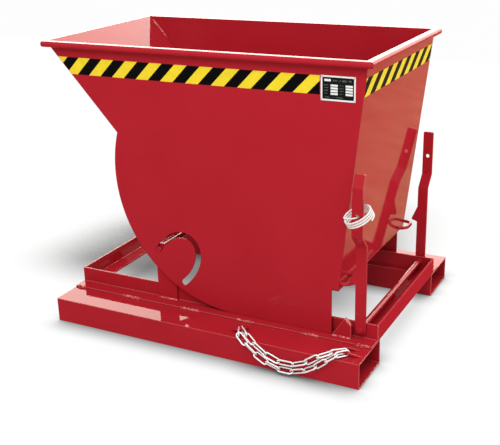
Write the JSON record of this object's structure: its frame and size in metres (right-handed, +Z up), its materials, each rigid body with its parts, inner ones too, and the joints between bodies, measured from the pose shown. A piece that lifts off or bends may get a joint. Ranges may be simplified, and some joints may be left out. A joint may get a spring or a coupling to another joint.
{
  "type": "tipping skip",
  "caption": "Forklift tipping skip: red steel hopper with curved side plates that roll along rails on a base of fork pockets, with a lever latch, pull rope and safety chain.",
  "frame": {"origin": "middle of the outline, without the hanging chain, on the ground", "axes": "+X to the rear where the forks enter, -X the way the hopper tips, +Z up"},
  "size_m": [1.2665, 0.9927, 1.021],
  "materials": {
    "red_paint": "gloss",
    "zinc_chain": "bright zinc",
    "bright_steel": "satin",
    "white_rope": "braided",
    "plate_black": "satin"
  },
  "bodies": {
    "base": {"fork_pocket_near": "red_paint", "fork_pocket_far": "red_paint", "rail_near": "red_paint", "rail_far": "red_paint", "front_cross_member": "red_paint", "rear_cross_member": "red_paint", "guide_bracket_near": "red_paint", "guide_bracket_far": "red_paint", "guide_shaft": "red_paint", "rear_stop": "red_paint", "chain_eye_front": "red_paint", "chain_eye_rear": "red_paint", "chain_strand_upper": "zinc_chain", "chain_strand_lower": "zinc_chain"},
    "roll_carrier": {"rolling_centre_studs": "red_paint"},
    "hopper": {"side_plate_near": "red_paint", "side_plate_far": "red_paint", "front_panel": "red_paint", "floor_panel": "red_paint", "rear_panel": "red_paint", "rim_near": "red_paint", "rim_far": "red_paint", "rim_front": "red_paint", "rim_rear": "red_paint", "keeper_near": "red_paint", "keeper_far": "red_paint", "data_plate": "plate_black", "data_plate_rivets": "bright_steel"},
    "latch": {"latch_shaft": "red_paint", "latch_lever_near": "red_paint", "latch_lever_far": "red_paint", "latch_spacers": "red_paint", "latch_bolts": "red_paint", "release_rope": "white_rope"}
  },
  "joints": [
    {"name": "roll_travel", "type": "slide", "parent": "base", "child": "roll_carrier", "axis": [-1, 0, 0], "range_m": [0, 0.6]},
    {"name": "hopper_tip", "type": "hinge", "parent": "roll_carrier", "child": "hopper", "pos_m": [0.1135, 0, 0.5733], "axis": [0, -1, 0], "range_deg": [0, 71]},
    {"name": "latch_swing", "type": "hinge", "parent": "base", "child": "latch", "pos_m": [0.575, 0, 0.13], "axis": [0, 1, 0], "range_deg": [-2.5, 20]}
  ],
  "couplings": [
    {"joint": "roll_travel", "follows": "hopper_tip", "m_per_rad": 0.477}
  ]
}
